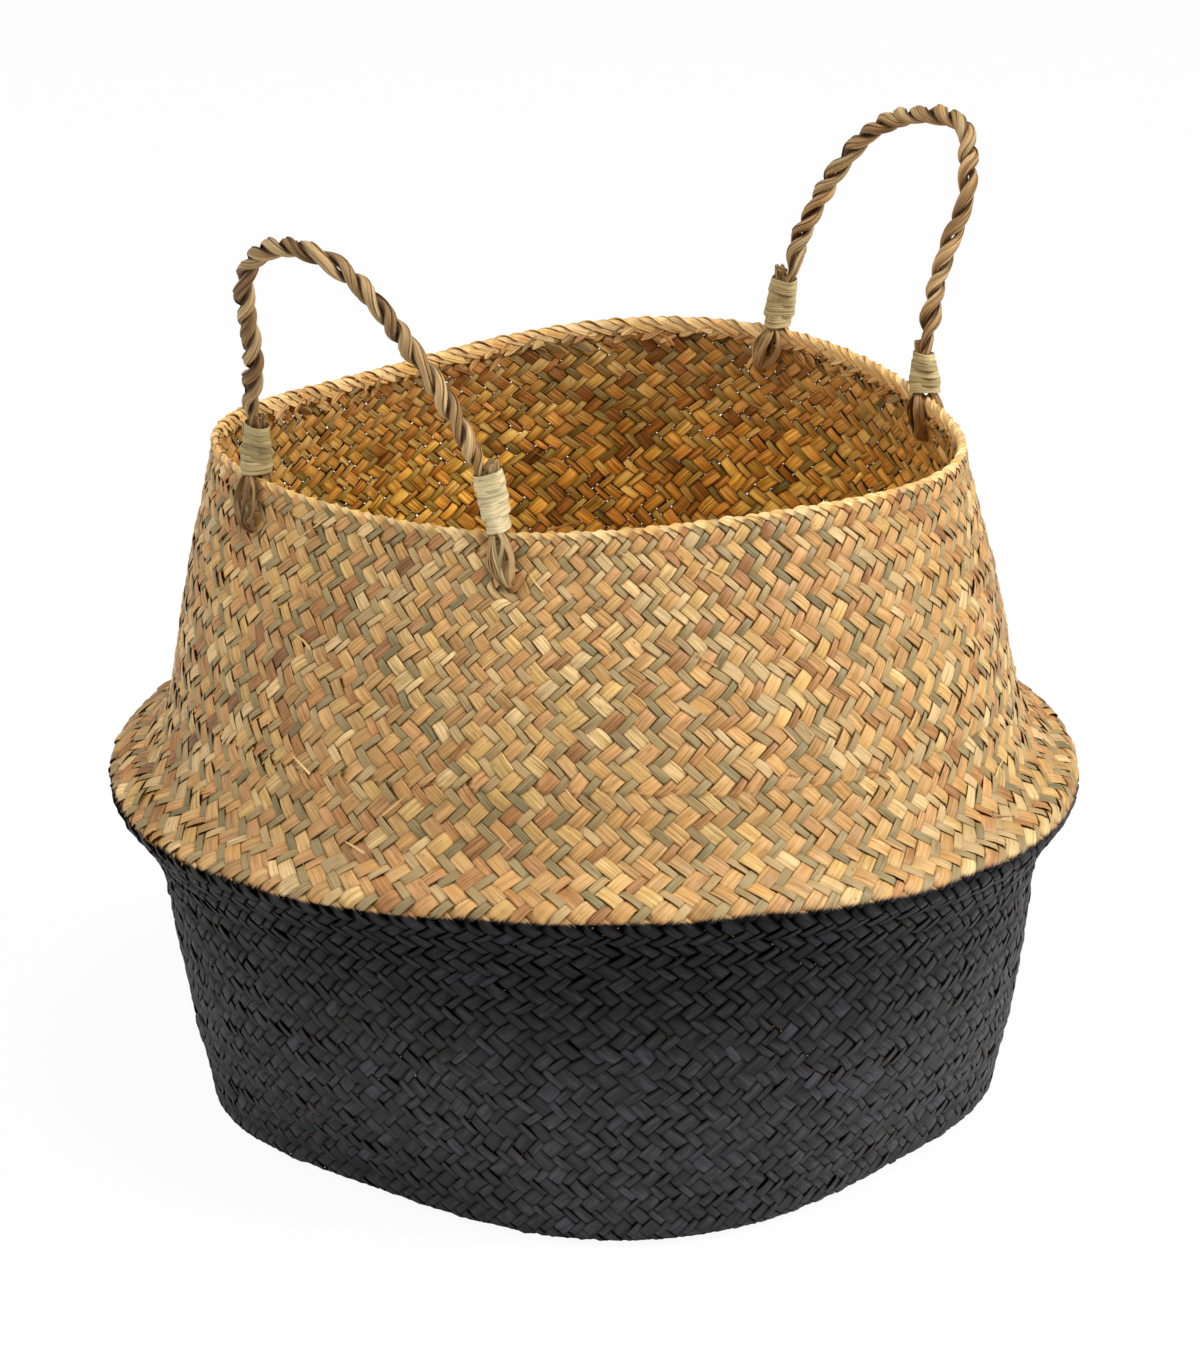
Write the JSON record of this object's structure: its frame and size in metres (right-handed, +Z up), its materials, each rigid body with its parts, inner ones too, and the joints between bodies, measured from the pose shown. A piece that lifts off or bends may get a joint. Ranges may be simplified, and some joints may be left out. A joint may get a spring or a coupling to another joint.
{
  "type": "belly basket",
  "caption": "Woven belly basket with a folded round waist, dark lower half and two rope handles tied on with raffia.",
  "frame": {"origin": "middle of the base's underside, below the centre of the fold", "axes": "+Z up out of the mouth; the base's square sides run along X and Y; one handle on the -X side, one on the +X side"},
  "size_m": [0.44, 0.44, 0.4381],
  "materials": {
    "dark_weave": "matte",
    "natural_weave": "matte",
    "rope": "matte",
    "raffia": "satin"
  },
  "bodies": {
    "lower_basket": {"woven_base": "dark_weave", "lower_wall": "dark_weave", "belly_fold": "natural_weave"},
    "upper_basket": {"upper_wall": "natural_weave", "rim_border": "natural_weave", "near_left_rope_end": "rope", "near_right_rope_end": "rope", "far_left_rope_end": "rope", "far_right_rope_end": "rope", "near_left_lashing": "raffia", "near_right_lashing": "raffia", "far_left_lashing": "raffia", "far_right_lashing": "raffia"},
    "near_handle": {"near_handle_rope": "rope"},
    "far_handle": {"far_handle_rope": "rope"}
  },
  "joints": [
    {"name": "upper_half_push", "type": "slide", "parent": "lower_basket", "child": "upper_basket", "axis": [0, 0, 1], "range_m": [-0.08, 0.015], "deforming": ["belly_fold"]},
    {"name": "near_handle_swing", "type": "hinge", "parent": "upper_basket", "child": "near_handle", "pos_m": [-0.1361, 0.02027, 0.34321], "axis": [0.0593, -0.9981, -0.0188], "range_deg": [-105, 65]},
    {"name": "far_handle_swing", "type": "hinge", "parent": "upper_basket", "child": "far_handle", "pos_m": [0.15721, -0.03193, 0.34428], "axis": [0.3219, 0.9432, 0.0826], "range_deg": [-103, 67]}
  ]
}
